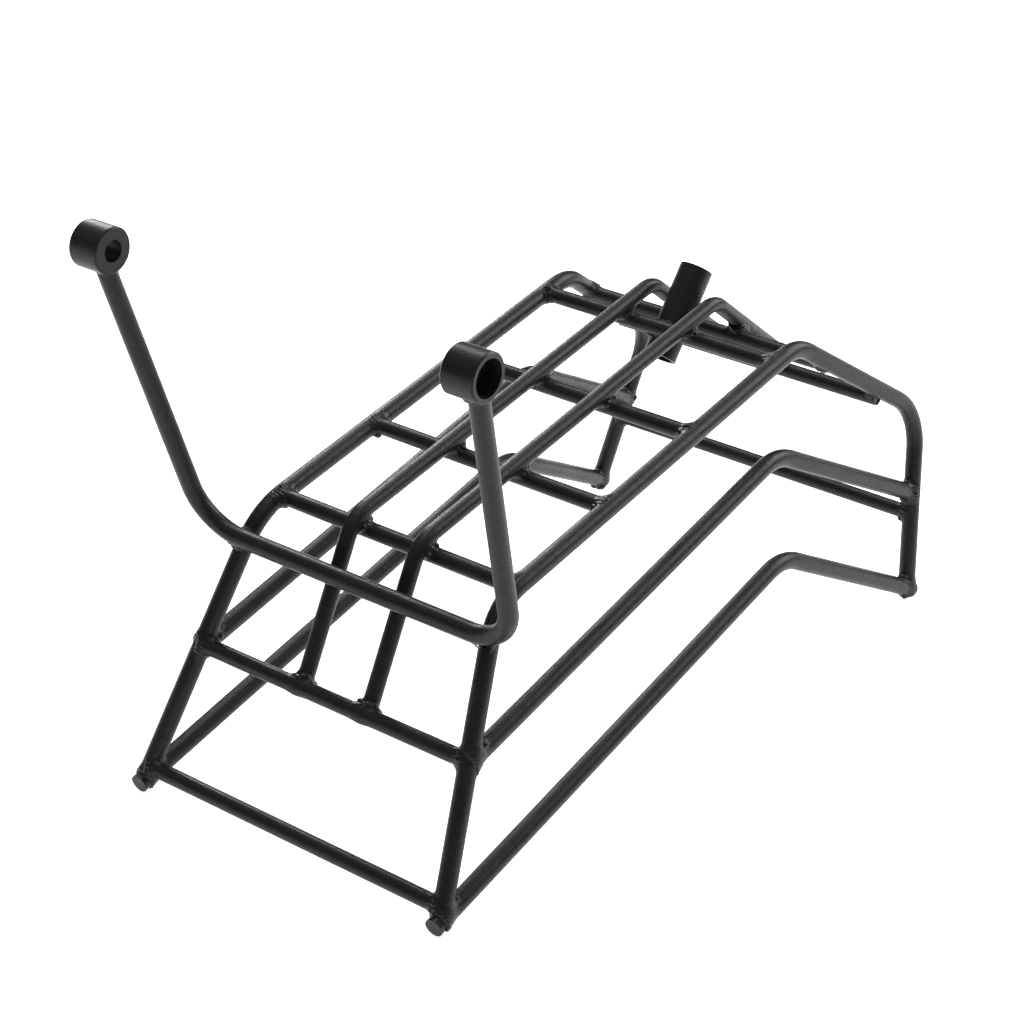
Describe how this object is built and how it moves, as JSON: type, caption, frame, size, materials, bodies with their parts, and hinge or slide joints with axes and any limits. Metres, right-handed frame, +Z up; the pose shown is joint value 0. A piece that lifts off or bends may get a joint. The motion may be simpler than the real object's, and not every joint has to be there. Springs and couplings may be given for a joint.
{
  "type": "round-bar luggage rack",
  "caption": "Rigid welded round-bar luggage rack with a sloping deck, two side frames on four feet, a raised yoke with screw bosses and a leaning socket tube.",
  "frame": {"origin": "centre of the bounding box's floor, on the surface that the four feet stand on", "axes": "+X to the side, +Y from the low yoke end towards the high far end, +Z up"},
  "size_m": [0.24, 0.4609, 0.3097],
  "materials": {
    "bar_coat": "satin black powder coat with a fine texture",
    "machined_boss": "satin black powder coat on turned steel",
    "weld_bead": "satin black powder coat over rippled weld metal"
  },
  "bodies": {
    "root": {"hoop_left": "bar_coat", "hoop_right": "bar_coat", "deck_rail_left": "bar_coat", "deck_rail_right": "bar_coat", "mid_rail_left": "bar_coat", "mid_rail_right": "bar_coat", "bottom_rail_left": "bar_coat", "bottom_rail_right": "bar_coat", "near_low_bar": "bar_coat", "near_mid_bar": "bar_coat", "deck_bar_1": "bar_coat", "deck_bar_2": "bar_coat", "deck_bar_3": "bar_coat", "deck_bar_4": "bar_coat", "leg_upper_bar": "bar_coat", "leg_lower_bar": "bar_coat", "far_mid_bar": "bar_coat", "yoke": "bar_coat", "boss_left": "machined_boss", "boss_right": "machined_boss", "socket_tube": "machined_boss", "near_welds": "weld_bead", "deck_welds": "weld_bead", "far_welds": "weld_bead", "yoke_welds": "weld_bead", "socket_weld": "weld_bead"}
  },
  "joints": []
}
